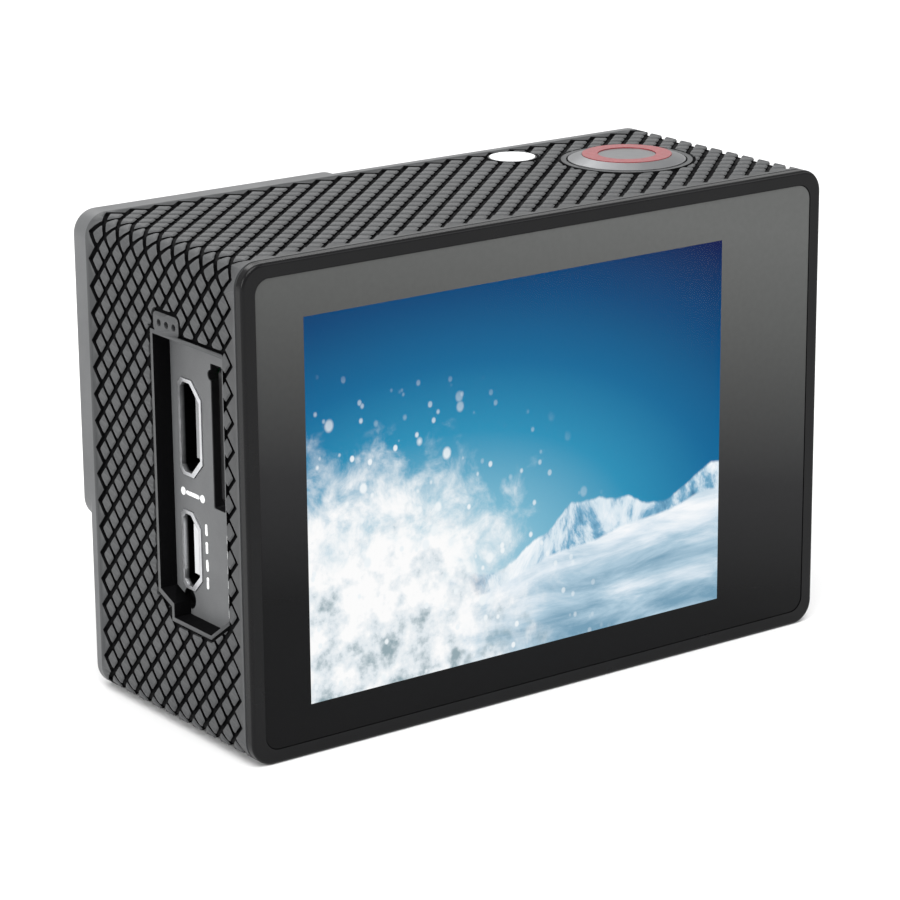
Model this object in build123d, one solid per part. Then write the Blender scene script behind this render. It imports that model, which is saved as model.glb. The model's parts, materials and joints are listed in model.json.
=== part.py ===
from build123d import *
from math import asin, cos, radians, sin
import os

# A pocket action camera: a textured side housing closed by a front cover and a rear screen cover.
# Millimetres, +Z up. The lens looks along -Y, the screen faces +Y and the port side is +X.
# The origin is on the base plane, under the middle of the overall width and depth, lens included.

# ---------------------------------------------------------------- case
BODY_W = 59.3  # width of the case, along X
BODY_D = 24.6  # depth of the case without the lens, along Y
BODY_H = 41.1  # height of the case, along Z
TOTAL_D = 29.3  # depth with the lens ring
CORNER_R = 2.0  # case edges that run front to back
WALL = 1.6  # side housing wall
FIT = 0.1  # gap between parts that are fixed together
SLIP = 0.15  # gap round a part that slides
FRONT_T = 1.1  # front cover plate
REAR_T = 0.85  # visible thickness of the rear cover
GROOVE = 0.25  # parting groove between the housing and the rear cover

SIDE = BODY_W / 2
REAR = TOTAL_D / 2
FRONT = REAR - BODY_D
MID = (FRONT + REAR) / 2
INNER_X = SIDE - WALL
FLOOR = WALL
CEILING = BODY_H - WALL
HOUSING_FRONT = FRONT + FRONT_T
HOUSING_REAR = REAR - REAR_T

# ---------------------------------------------------------------- lens
BLOCK = 26.6  # side of the raised square round the lens
BLOCK_RISE = 1.1
LENS_X = SIDE - BLOCK / 2 - 0.15
LENS_Z = BODY_H - BLOCK / 2 - 0.1
RING_R = 10.6
RING_EDGE = 0.7  # chamfer round the ring's front
RING_NECK_R = 10.2
RING_BORE_R = 8.8
GLASS_R = 6.35
GLASS_RISE = 1.3  # height of the front glass's dome
GLASS_BACK = -10.6
GLASS_EDGE = -12.0
BARREL_R = 7.4
BARREL_BORE_R = 5.4
BARREL_FRONT = -10.5
BARREL_BACK = 0.3
SENSOR_BOARD_Y = 2.9

# ---------------------------------------------------------------- screen
WINDOW_W = 56.8
WINDOW_H = 38.6
WINDOW_T = 0.45
WINDOW_R = 1.3
WINDOW_SET = 0.07  # how far the window lies below the rear cover's face
MASK_T = 0.08
SCREEN_X = 2.7  # middle of the picture
SCREEN_Z = 20.3
SCREEN_W = 42.6
SCREEN_H = 32.0
WINDOW_REAR = REAR - WINDOW_SET
WINDOW_FRONT = WINDOW_REAR - WINDOW_T
MASK_FRONT = WINDOW_FRONT - MASK_T
LCD_X = (-23.5, 25.2)
LCD_Z = (3.1, 37.5)
LCD_Y = (12.8, 13.9)
TRAY_Y = (11.2, 12.75)
RIBBON_Z = (14.0, 26.0)

# ---------------------------------------------------------------- ports on the +X side
RECESS_Y = (MID - 1.1, MID + 9.25)
RECESS_Z = (9.7, 33.2)
RECESS_STEP = 2.0  # how far the recess's lower corners come in
PANEL_T = 1.0
BOARD_Y = (5.95, 7.15)  # main board, front and rear faces
BOARD_X = (-24.5, 26.9)
BOARD_Z = (2.0, 37.7)
USB_Y, USB_Z = 4.1, 25.6
USB_SIZE = (3.4, 8.1, 4.4)  # height along Y, width along Z, depth along X
HDMI_Y, HDMI_Z = 3.8, 15.2
HDMI_SIZE = (2.9, 6.7, 6.6)
SHELL_T = 0.3
CARD_SIZE = (15.0, 1.0, 11.0)
CARD_Y = 8.1
CARD_Z = 25.7
CARD_SET = 0.55  # the card's end lies this far below the recess floor
CARD_PUSH = 0.6  # how far the card can be pushed in before it springs out

# ---------------------------------------------------------------- buttons
SHUTTER_X, SHUTTER_Y, SHUTTER_R = -19.0, 1.25, 5.15
MODE_X, MODE_Z, MODE_R = -15.0, 25.0, 4.4
STATUS_X, STATUS_Z, STATUS_W, STATUS_H = -15.0, 10.8, 14.0, 7.0  # small front display
KEY_W, KEY_H = 8.0, 5.0  # up and down keys, along Y and Z
UP_Z, DOWN_Z = 28.5, 12.5
KEY_OUT = 0.4
TRAVEL = 0.5
FRONT_BOARD_Y = (-6.45, -5.85)
KEY_BOARD_X = (-26.3, -25.8)
LAMP_X, LAMP_Y, LAMP_R = -11.7, MID - 8.0, 2.0
SPEAKER_Z, SPEAKER_R = 20.5, 4.3

# ---------------------------------------------------------------- battery and its door
BATTERY = (29.3, 9.8, 32.5)
BATTERY_X = (-24.6, -24.6 + BATTERY[0])
BATTERY_Z = (1.9, 1.9 + BATTERY[2])
BAY_GAP = 0.2
BAY_WALL_X, BAY_WALL_Y = 0.7, 0.55
BAY_TOP = BATTERY_Z[1] + 0.5
DOOR_HALF = 6.0  # half the door's width, along Y
DOOR_END = -26.0
HINGE_X, HINGE_Z = 8.6, WALL / 2
PIN_R = 0.4
PIN_HALF = 7.4
LATCH_TRAVEL = 1.2

# ---------------------------------------------------------------- screws
SCREW_R, SCREW_HEAD_R, SCREW_HEAD_T = 0.7, 1.25, 0.7
BOSS_R = 1.7
SCREWS = ((-25.6, 37.4), (1.2, 37.4), (25.9, 3.9), (12.2, 3.9))
SCREW_END = -2.6
FACE_T = 0.3
HEAD_SEAT = FRONT + FACE_T + 0.9


# ---------------------------------------------------------------- shapes
def slab_x(x, y, z, r=0.0):
    """A block over the ranges x, y and z, its four edges along X rounded by r."""
    plane = Plane(origin=(x[0], sum(y) / 2, sum(z) / 2), x_dir=(0, 1, 0), z_dir=(1, 0, 0))
    return prism(plane, y[1] - y[0], z[1] - z[0], x[1] - x[0], r)


def slab_y(x, y, z, r=0.0):
    """A block over the ranges x, y and z, its four edges along Y rounded by r."""
    plane = Plane(origin=(sum(x) / 2, y[1], sum(z) / 2), x_dir=(1, 0, 0), z_dir=(0, -1, 0))
    return prism(plane, x[1] - x[0], z[1] - z[0], y[1] - y[0], r)


def slab_z(x, y, z, r=0.0):
    """A block over the ranges x, y and z, its four edges along Z rounded by r."""
    plane = Plane(origin=(sum(x) / 2, sum(y) / 2, z[0]))
    return prism(plane, x[1] - x[0], y[1] - y[0], z[1] - z[0], r)


def prism(plane, width, height, length, r):
    outline = RectangleRounded(width, height, r) if r else Rectangle(width, height)
    return extrude(plane * outline, length)


def rod_x(y, z, r, x):
    return extrude(Plane(origin=(x[0], y, z), z_dir=(1, 0, 0)) * Circle(r), x[1] - x[0])


def rod_y(x, z, r, y):
    return extrude(Plane(origin=(x, y[1], z), z_dir=(0, -1, 0)) * Circle(r), y[1] - y[0])


def rod_z(x, y, r, z):
    return extrude(Plane(origin=(x, y, z[0])) * Circle(r), z[1] - z[0])


def prism_x(points, x):
    """A prism along X over a closed outline of (y, z) points."""
    outline = make_face(Polyline(*[(x[0], y, z) for y, z in points], close=True))
    return extrude(outline, x[1] - x[0], dir=(1, 0, 0))


def turned(profile):
    """A solid of revolution about the lens axis, from (radius, y) points."""
    face = make_face(Polyline(*[(LENS_X + r, y, LENS_Z) for r, y in profile], close=True))
    return revolve(face, Axis((LENS_X, 0, LENS_Z), (0, 1, 0)), 360)


def around(centre, half):
    return (centre - half, centre + half)


def grown(span, by):
    return (span[0] - by, span[1] + by)


# ---------------------------------------------------------------- covers and housing
def block_range():
    return (SIDE - BLOCK, SIDE), (BODY_H - BLOCK, BODY_H)


def front_cover():
    inside = grown((-INNER_X, INNER_X), -FIT), grown((FLOOR, CEILING), -FIT)
    lip_y = (HOUSING_FRONT, HOUSING_FRONT + 1.6)
    plate = slab_y((-SIDE, SIDE), (FRONT, HOUSING_FRONT), (0, BODY_H), CORNER_R)
    plate = fillet(plate.edges().group_by(Axis.Y)[0], 0.5)
    block_x, block_z = block_range()
    block = slab_y(block_x, (FRONT - BLOCK_RISE, HOUSING_FRONT), block_z, CORNER_R)
    block = fillet(block.edges().group_by(Axis.Y)[0], 0.5)
    lip = slab_y(inside[0], lip_y, inside[1], 0.4)
    lip -= slab_y(grown(inside[0], -1.0), lip_y, grown(inside[1], -1.0))
    lip -= slab_y((-28, 11), lip_y, (0, 3))
    lip -= slab_y(around(LAMP_X, LAMP_R + 0.7), lip_y, (CEILING - 1.5, CEILING))
    cover = plate + block + lip
    for x, z in SCREWS:
        cover += rod_y(x, z, BOSS_R, (HOUSING_FRONT - 0.2, HOUSING_FRONT + 1.45))
    cover -= face_plate_outline((FRONT - 1, FRONT + FACE_T), 0.05)
    for x, z in SCREWS:
        cover -= rod_y(x, z, SCREW_HEAD_R + FIT, (FRONT, HEAD_SEAT))
        cover -= rod_y(x, z, SCREW_R + 0.1, (FRONT, 0))
    cover -= rod_y(LENS_X, LENS_Z, RING_NECK_R + 0.05, (FRONT - 5, 0))
    cover -= rod_y(MODE_X, MODE_Z, MODE_R + SLIP, (FRONT - 5, 0))
    return cover - status_shape((FRONT - 1, HOUSING_FRONT + 1), 0.05)


def face_plate_outline(y, margin=0.0):
    """The thin trim plate's shape: the whole front less the raised lens block."""
    inset = 1.3 - margin
    block_x, block_z = block_range()
    plate = slab_y((-SIDE + inset, SIDE - inset), y, (inset, BODY_H - inset), 1.2)
    gap = 0.5 - margin
    return plate - slab_y((block_x[0] - gap, SIDE + 1), y, (block_z[0] - gap, BODY_H + 1), CORNER_R)


def face_plate():
    plate = face_plate_outline((FRONT, FRONT + FACE_T))
    plate -= rod_y(MODE_X, MODE_Z, MODE_R + SLIP, (FRONT - 1, 0))
    return plate - status_shape((FRONT - 1, 0), 0.05)


def status_shape(y, grow=0.0):
    x, z = around(STATUS_X, STATUS_W / 2 + grow), around(STATUS_Z, STATUS_H / 2 + grow)
    return slab_y(x, y, z, 1.0)


def status_window():
    return status_shape((FRONT + 0.05, HOUSING_FRONT - 0.05))


def status_display():
    x, z = around(STATUS_X, STATUS_W / 2 + 1), around(STATUS_Z, STATUS_H / 2 + 1)
    return slab_y(x, (HOUSING_FRONT + 0.05, HOUSING_FRONT + 1.3), z, 0.4)


def recess_outline(grow=0.0):
    front, rear = grown(RECESS_Y, grow)
    low, high = grown(RECESS_Z, grow)
    return [
        (front, high),
        (rear, high),
        (rear, low + RECESS_STEP),
        (rear - RECESS_STEP * 1.4, low),
        (front + RECESS_STEP, low),
        (front + RECESS_STEP, low + RECESS_STEP * 0.6),
        (front, low + RECESS_STEP),
    ]


def mic_holes(x):
    return [rod_x(3.4 + step * 1.1, 34.25, 0.3, x) for step in (-1, 0, 1)]


def speaker_holes(x):
    places = [(0, 0)] + [(2.1 * cos(radians(a)), 2.1 * sin(radians(a))) for a in range(0, 360, 60)]
    return [rod_x(MID + dy, SPEAKER_Z + dz, 0.45, x) for dy, dz in places]


def side_housing():
    y = (HOUSING_FRONT, HOUSING_REAR)
    shell = slab_y((-SIDE, SIDE), y, (0, BODY_H), CORNER_R)
    shell -= slab_y((-INNER_X, INNER_X), y, (FLOOR, CEILING), CORNER_R - WALL)
    shell -= parting_groove()
    for x, z in SCREWS:
        wall_z = (z, CEILING + 0.5) if z > BODY_H / 2 else (FLOOR - 0.5, z)
        boss_y = (HOUSING_FRONT + 1.7, SCREW_END - 0.2)
        shell += rod_y(x, z, BOSS_R, boss_y)
        shell += slab_y(around(x, 0.7), boss_y, wall_z)
        shell -= rod_y(x, z, SCREW_R + 0.02, (HOUSING_FRONT, SCREW_END + 0.2))
    x_through = (INNER_X - 1, SIDE + 1)
    shell -= prism_x(recess_outline(), x_through)
    left_through = (-SIDE - 1, -INNER_X + 1)
    for hole in mic_holes(x_through) + speaker_holes(left_through):
        shell -= hole
    for z in (UP_Z, DOWN_Z):
        shell -= slab_x(left_through, around(MID, KEY_W / 2 + SLIP), around(z, KEY_H / 2 + SLIP), 1.6)
    shell -= rod_z(SHUTTER_X, SHUTTER_Y, SHUTTER_R + SLIP, (CEILING - 1, BODY_H + 1))
    shell -= rod_z(LAMP_X, LAMP_Y, LAMP_R + 0.03, (CEILING - 1, BODY_H + 1))
    return shell - door_opening() - rod_y(HINGE_X, HINGE_Z, PIN_R + 0.02, around(0, PIN_HALF + 0.1))


def parting_groove():
    y = (HOUSING_REAR - GROOVE, HOUSING_REAR)
    rim = slab_y(grown((-SIDE, SIDE), 1), y, (-1, BODY_H + 1))
    return rim - slab_y(grown((-SIDE, SIDE), -GROOVE), y, (GROOVE, BODY_H - GROOVE), CORNER_R - GROOVE)


def door_opening():
    """The hole for the battery door, with a sloped edge that the open door leans past."""
    edge, half = HINGE_X + WALL / 2 + FIT, DOOR_HALF + FIT
    opening = slab_z((DOOR_END - FIT, edge), around(0, half), (-1, FLOOR + 1))
    top = (edge - 0.1, -half, 1.0)
    low = (edge - 0.1, -half, -0.1)
    out = (edge + 0.6, -half, -0.1)
    slope = make_face(Polyline(top, low, out, close=True))
    return opening + extrude(slope, 2 * half, dir=(0, 1, 0))


def rear_cover():
    inside = grown((-INNER_X, INNER_X), -FIT), grown((FLOOR, CEILING), -FIT)
    frame = slab_y((-SIDE, SIDE), (HOUSING_REAR, REAR), (0, BODY_H), CORNER_R)
    frame = fillet(frame.edges().group_by(Axis.Y)[-1], 0.3)
    ledge = slab_y(inside[0], (12.9, HOUSING_REAR), inside[1], 0.4)
    lip = slab_y(inside[0], (11.9, 12.9), inside[1], 0.4)
    lip -= slab_y(grown(inside[0], -1.0), (11.9, 12.9), grown(inside[1], -0.9))
    cover = frame + ledge + lip
    cover -= window_shape((MASK_FRONT, REAR + 1), 0.05)
    cover -= slab_y(grown(LCD_X, 0.2), (10, REAR), grown(LCD_Z, 0.2))
    return cover - slab_y((LCD_X[0] - 1.4, LCD_X[0]), (10, LCD_Y[0] + 0.6), grown(RIBBON_Z, 0.3))


def window_shape(y, grow=0.0):
    x = around(0, WINDOW_W / 2 + grow)
    return slab_y(x, y, around(BODY_H / 2, WINDOW_H / 2 + grow), WINDOW_R)


def screen_window():
    return window_shape((WINDOW_FRONT, WINDOW_REAR))


def picture_shape(y, grow=0.0):
    return slab_y(around(SCREEN_X, SCREEN_W / 2 + grow), y, around(SCREEN_Z, SCREEN_H / 2 + grow))


def window_mask():
    y = (MASK_FRONT, WINDOW_FRONT)
    return window_shape(y) - picture_shape(y)


# ---------------------------------------------------------------- screen module and boards
def lcd_panel():
    return slab_y(LCD_X, LCD_Y, LCD_Z)


def backlight_tray():
    tray = slab_y(LCD_X, TRAY_Y, LCD_Z, 0.5)
    return tray - slab_y(grown(LCD_X, -0.4), (TRAY_Y[0] + 0.4, TRAY_Y[1]), grown(LCD_Z, -0.4), 0.3)


def light_guide():
    return slab_y(grown(LCD_X, -0.5), (TRAY_Y[0] + 0.45, TRAY_Y[1]), grown(LCD_Z, -0.5), 0.3)


def screen_ribbon():
    """A flat ribbon from the screen's edge round to the rear of the main board."""
    edge, out, t = LCD_X[0], LCD_X[0] - 1.1, 0.2
    rear, front = LCD_Y[0] + 0.2, BOARD_Y[1] + 1.25
    ribbon = slab_y((out, edge), (rear, rear + t), RIBBON_Z)
    ribbon += slab_y((out, out + t), (front, rear + t), RIBBON_Z)
    return ribbon + slab_y((out, edge + 4), (front, front + t), RIBBON_Z)


def ribbon_connector():
    y = (BOARD_Y[1], BOARD_Y[1] + 1.25)
    return slab_y((LCD_X[0] + 0.4, LCD_X[0] + 4.4), y, grown(RIBBON_Z, 0.6))


def main_board():
    board = slab_y(BOARD_X, BOARD_Y, BOARD_Z, 1.0)
    for x in grown(BOARD_X, -2.0):
        for z in grown(BOARD_Z, -2.0):
            board -= rod_y(x, z, 0.8, grown(BOARD_Y, 1))
    return board


def processor():
    return slab_y(around(-6.0, 6.5), (BOARD_Y[1], BOARD_Y[1] + 1.2), around(20.0, 6.5), 0.3)


def memory_chips():
    y = (BOARD_Y[1], BOARD_Y[1] + 1.0)
    return [slab_y(around(5.6, 4.0), y, around(z, 5.0), 0.2) for z in (26.0, 13.2)]


def board_parts():
    """Small coils, capacitors and resistors in two rows on the main board's rear face."""
    parts = []
    for n in range(7):
        parts.append(slab_y(around(-16 + n * 5.2, 0.9), (BOARD_Y[1], 7.9), around(33.6, 0.5)))
        parts.append(slab_y(around(-16 + n * 5.2, 0.6), (BOARD_Y[1], 7.7), around(7.0, 0.35)))
    for x in (-18.0, -13.5):
        parts.append(slab_y(around(x, 1.6), (BOARD_Y[1], 8.8), around(10.3, 1.6), 0.4))
    return parts


# ---------------------------------------------------------------- ports
def port_outline(size, y, z, grow=0.0):
    """A plug socket seen from its mouth: wide chamfers on the rear side, small ones on the front."""
    h, w = size[0] / 2 + grow, size[1] / 2 + grow
    wide, small = size[0] * 0.4, size[0] * 0.14
    return [
        (y - h + small, z - w),
        (y - h, z - w + small),
        (y - h, z + w - small),
        (y - h + small, z + w),
        (y + h - wide, z + w),
        (y + h, z + w - wide),
        (y + h, z - w + wide),
        (y + h - wide, z - w),
    ]


def port_shell(size, y, z):
    x = (INNER_X + 0.1 - size[2], INNER_X + 0.1)
    shell = prism_x(port_outline(size, y, z), x)
    return shell - prism_x(port_outline(size, y, z, -SHELL_T), (x[0] + 0.4, x[1] + 1))


def port_tongue(size, y, z, width):
    x = (INNER_X + 0.5 - size[2], INNER_X - 0.5)
    return slab_x(x, around(y, 0.35), around(z, width / 2))


def usb_shell():
    return port_shell(USB_SIZE, USB_Y, USB_Z)


def usb_tongue():
    return port_tongue(USB_SIZE, USB_Y + 0.35, USB_Z, 5.0)


def hdmi_shell():
    return port_shell(HDMI_SIZE, HDMI_Y, HDMI_Z)


def hdmi_tongue():
    return port_tongue(HDMI_SIZE, HDMI_Y - 0.2, HDMI_Z, 4.2)


def slot_range():
    return around(CARD_Y, 0.85), around(CARD_Z, 6.0)


def port_panel():
    y = (RECESS_Y[0] - 1.1, RECESS_Y[1] + 0.2)
    z = (RECESS_Z[0] - 1.1, RECESS_Z[1] + 0.4)
    x = (INNER_X - PANEL_T, INNER_X)
    through = grown(x, 1)
    panel = slab_x(x, y, z, 0.3)
    panel -= prism_x(port_outline(USB_SIZE, USB_Y, USB_Z, 0.03), through)
    panel -= prism_x(port_outline(HDMI_SIZE, HDMI_Y, HDMI_Z, 0.03), through)
    slot_y, slot_z = slot_range()
    panel -= slab_x(through, slot_y, slot_z, 0.15)
    panel -= rod_x(slot_y[0], slot_z[1] - 1.0, 0.45, through)
    return panel - rod_x(RECESS_Y[0] + 1.9, RECESS_Z[0] + 1.3, 0.9, (x[1] - 0.6, x[1] + 1))


def card_range():
    end = INNER_X - CARD_SET
    return (end - CARD_SIZE[0], end), around(CARD_Y, CARD_SIZE[1] / 2), around(CARD_Z, CARD_SIZE[2] / 2)


def card_socket():
    x, y, z = card_range()
    back = x[0] - CARD_PUSH - 0.3
    body = slab_x((back - 0.4, INNER_X - PANEL_T), (BOARD_Y[1], 9.05), grown(z, 1.5), 0.3)
    return body - slab_x((back, INNER_X), grown(y, 0.08), grown(z, 0.1))


def memory_card():
    """A thumbnail card: one edge steps in near its leading end, and the outer end has a thicker grip."""
    x, y, z = card_range()
    card = slab_y(x, (y[0] + 0.3, y[1]), z, 0.5) + slab_y((x[1] - 2.0, x[1]), y, z, 0.4)
    card -= slab_y((x[0] - 1, x[0] + 6.3), grown(y, 1), (z[1] - 1.3, z[1] + 1))
    return card - slab_y((x[0] + 7.3, x[0] + 8.6), grown(y, 1), (z[1] - 0.7, z[1] + 1))


# ---------------------------------------------------------------- lens
def lens_ring():
    front, seat = -REAR, FRONT - BLOCK_RISE
    return turned(
        [
            (RING_BORE_R, front),
            (RING_R - RING_EDGE, front),
            (RING_R, front + RING_EDGE),
            (RING_R, seat),
            (RING_NECK_R, seat),
            (RING_NECK_R, FRONT + 1.9),
            (RING_BORE_R, FRONT + 1.9),
        ]
    )


def lens_cone():
    """The stepped black cone between the ring and the front glass."""
    outer, seat = RING_BORE_R - 0.03, GLASS_R + 0.05
    return turned(
        [
            (outer, -14.25),
            (8.3, -14.25),
            (8.05, -13.75),
            (7.6, -13.75),
            (7.35, -13.25),
            (6.95, -13.25),
            (seat + 0.15, -12.5),
            (seat, -12.2),
            (seat, GLASS_BACK + 0.05),
            (BARREL_R + 0.05, GLASS_BACK + 0.05),
            (BARREL_R + 0.05, -8.1),
            (outer, -8.1),
        ]
    )


def dome(r, rise, edge, back):
    """A round glass with a spherical front, flat behind: edge and back are places along Y."""
    axis_top = (LENS_X, edge - rise, LENS_Z)
    rim = (LENS_X + r, edge, LENS_Z)
    sphere_r = (r * r + rise * rise) / (2 * rise)
    centre_y = edge - rise + sphere_r
    half = asin(r / sphere_r) / 2
    mid = (LENS_X + sphere_r * sin(half), centre_y - sphere_r * cos(half), LENS_Z)
    outline = ThreePointArc(axis_top, mid, rim) + Polyline(
        rim, (LENS_X + r, back, LENS_Z), (LENS_X, back, LENS_Z), axis_top
    )
    return revolve(make_face(outline), Axis((LENS_X, 0, LENS_Z), (0, 1, 0)), 360)


def front_glass():
    return dome(GLASS_R, GLASS_RISE, GLASS_EDGE, GLASS_BACK)


def inner_glasses():
    r = BARREL_BORE_R - 0.05
    return [
        dome(r, 0.9, -8.3, -7.3),
        dome(r, 0.6, -4.6, -3.6),
        dome(r, 0.5, -1.9, -0.9),
    ]


def lens_barrel():
    """The threaded barrel, with thin stops between the inner glasses."""
    barrel = turned(
        [
            (BARREL_BORE_R, BARREL_FRONT),
            (BARREL_R, BARREL_FRONT),
            (BARREL_R, BARREL_BACK),
            (BARREL_BORE_R, BARREL_BACK),
        ]
    )
    for y in (-7.2, -3.5, -0.8):
        barrel += turned([(4.0, y), (BARREL_BORE_R, y), (BARREL_BORE_R, y + 0.5), (4.0, y + 0.5)])
    return barrel


def lens_holder():
    x, z = around(LENS_X, 7.5), around(LENS_Z, 7.5)
    holder = slab_y((x[0], x[1] - 0.1), (-1.2, SENSOR_BOARD_Y - 0.02), z, 1.0)
    holder -= rod_y(LENS_X, LENS_Z, BARREL_R + 0.03, (-2, BARREL_BACK + 0.05))
    holder -= slab_y(around(LENS_X, 4.1), (0, 1.0), around(LENS_Z, 4.1))
    return holder - slab_y(around(LENS_X, 5.0), (0.9, 4), around(LENS_Z, 4.6))


def infrared_filter():
    return slab_y(around(LENS_X, 4.05), (0.5, 0.8), around(LENS_Z, 4.05))


def image_sensor():
    return slab_y(around(LENS_X, 4.3), (SENSOR_BOARD_Y - 0.95, SENSOR_BOARD_Y), around(LENS_Z, 3.6), 0.2)


def sensor_board():
    y = (SENSOR_BOARD_Y, SENSOR_BOARD_Y + 0.8)
    return slab_y((8.7, 22.7), y, around(LENS_Z, 7.4), 0.8)


def sensor_connector():
    return slab_y((12.0, 20.0), (SENSOR_BOARD_Y + 0.8, BOARD_Y[0]), (22.0, 24.0), 0.2)


# ---------------------------------------------------------------- buttons and lamp
def shutter_cap():
    """A dished metal cap with a groove for the coloured ring, a flange under the wall and a short stem."""
    rim = BODY_H + 0.05
    cap = rod_z(SHUTTER_X, SHUTTER_Y, SHUTTER_R, (CEILING - 0.3, rim))
    cap += Pos(SHUTTER_X, SHUTTER_Y, rim + 0.2) * Cone(SHUTTER_R - 0.1, 4.0, 0.4)
    cap += rod_z(SHUTTER_X, SHUTTER_Y, 5.9, (CEILING - 1.0, CEILING - 0.3))
    cap += rod_z(SHUTTER_X, SHUTTER_Y, 1.5, (CEILING - 1.4, CEILING - 1.0))
    return cap - rod_z(SHUTTER_X, SHUTTER_Y, 3.95, (BODY_H - 0.2, BODY_H + 1))


def shutter_ring():
    ring = rod_z(SHUTTER_X, SHUTTER_Y, 3.92, (BODY_H - 0.2, BODY_H + 0.5))
    return ring - rod_z(SHUTTER_X, SHUTTER_Y, 2.55, (BODY_H - 1, BODY_H + 1))


def shutter_centre():
    return rod_z(SHUTTER_X, SHUTTER_Y, 2.52, (BODY_H - 0.2, BODY_H + 0.42))


def tact_switch(place, plunger_r=1.0):
    """A small press switch that stands along a plane's normal: a square base and a round plunger."""
    base = extrude(place * Rectangle(3.6, 3.6), 0.45)
    return base + extrude(place.offset(0.45) * Circle(plunger_r), 0.15)


def top_board():
    return slab_z((-24.0, -8.5), (-8.0, 5.4), (BAY_TOP + 0.65, BAY_TOP + 1.25), 0.8)


def shutter_switch():
    base_z = BAY_TOP + 1.25
    switch = rod_z(SHUTTER_X, SHUTTER_Y, 1.0, (base_z, CEILING - 1.4 - TRAVEL - 0.05))
    return switch + slab_z(around(SHUTTER_X, 2.2), around(SHUTTER_Y, 2.2), (base_z, base_z + 0.8))


def status_lamp():
    lamp = rod_z(LAMP_X, LAMP_Y, LAMP_R, (CEILING, BODY_H + 0.05))
    lamp += rod_z(LAMP_X, LAMP_Y, LAMP_R + 0.5, (CEILING - 0.7, CEILING))
    return lamp + rod_z(LAMP_X, LAMP_Y, 1.2, (37.3, CEILING - 0.7))


def lamp_led():
    z = BAY_TOP + 1.25
    return slab_z(around(LAMP_X, 0.8), around(LAMP_Y, 0.5), (z, z + 0.6))


def mode_button():
    button = rod_y(MODE_X, MODE_Z, MODE_R, (FRONT - 0.35, FRONT + 1.4))
    button = fillet(button.edges().group_by(Axis.Y)[0], 0.3)
    button += rod_y(MODE_X, MODE_Z, MODE_R + 0.7, (HOUSING_FRONT + 0.3, HOUSING_FRONT + 0.9))
    return button + rod_y(MODE_X, MODE_Z, 1.0, (HOUSING_FRONT + 0.9, HOUSING_FRONT + 1.25))


def front_board():
    return slab_y((-23.5, -6.5), FRONT_BOARD_Y, (17.5, 32.5), 0.8)


def mode_switch():
    return tact_switch(Plane(origin=(MODE_X, FRONT_BOARD_Y[0], MODE_Z), z_dir=(0, -1, 0)))


def key(z):
    """A side key with a flange behind the wall."""
    y, z = around(MID, KEY_W / 2), around(z, KEY_H / 2)
    face = slab_x((-SIDE - KEY_OUT, -INNER_X + 0.1), y, z, 1.5)
    face = fillet(face.edges().group_by(Axis.X)[0], 0.3)
    return face + slab_x((-INNER_X + 0.1, -INNER_X + 0.6), grown(y, 0.7), grown(z, 0.6), 1.5)


def up_key():
    return key(UP_Z)


def down_key():
    return key(DOWN_Z)


def key_boards():
    return [slab_x(KEY_BOARD_X, around(MID, 4.0), around(z, 3.0), 0.5) for z in (UP_Z, DOWN_Z)]


def key_switches():
    x = KEY_BOARD_X[0]
    return [tact_switch(Plane(origin=(x, MID, z), z_dir=(-1, 0, 0))) for z in (UP_Z, DOWN_Z)]


def speaker():
    case = rod_x(MID, SPEAKER_Z, SPEAKER_R, (-INNER_X + 0.05, -25.9))
    return case - rod_x(MID, SPEAKER_Z, SPEAKER_R - 0.9, (-INNER_X - 1, -INNER_X + 0.5))


def microphone():
    return slab_x((26.2, INNER_X - 0.05), around(3.4, 1.6), (33.7, 35.3), 0.2)


# ---------------------------------------------------------------- battery, bay and door
def bay_inner():
    half_y = BATTERY[1] / 2 + BAY_GAP
    return grown(BATTERY_X, BAY_GAP), (-half_y, half_y)


def battery_bay():
    x, y = bay_inner()
    outer_x, outer_y = grown(x, BAY_WALL_X), grown(y, BAY_WALL_Y)
    bay = slab_z(outer_x, outer_y, (FLOOR + 0.05, BAY_TOP + 0.6))
    return bay - slab_z(x, y, (0, BAY_TOP))


def battery():
    y = around(0, BATTERY[1] / 2)
    return slab_z(BATTERY_X, y, (BATTERY_Z[0], BATTERY_Z[1] - 1.5), 1.2)


def battery_cap():
    """The plastic end of the battery, with pockets for its contacts."""
    y = around(0, BATTERY[1] / 2)
    cap = slab_z(BATTERY_X, y, (BATTERY_Z[1] - 1.5, BATTERY_Z[1]), 1.2)
    for x in contact_places():
        cap -= slab_z(around(x, 0.9), (-3.5, 0.5), (BATTERY_Z[1] - 0.4, BATTERY_Z[1] + 1))
    return cap


def contact_places():
    return [BATTERY_X[0] + 5.0 + n * 2.6 for n in range(3)]


def battery_contacts():
    z = (BATTERY_Z[1] - 0.4, BATTERY_Z[1] - 0.2)
    return [slab_z(around(x, 0.8), (-3.3, 0.3), z) for x in contact_places()]


def bay_terminals():
    """Three spring blades that hang from the bay's roof and stop just over the battery's contacts."""
    return [slab_z(around(x, 0.4), (-2.4, -0.6), (BATTERY_Z[1] - 0.15, BAY_TOP)) for x in contact_places()]


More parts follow.
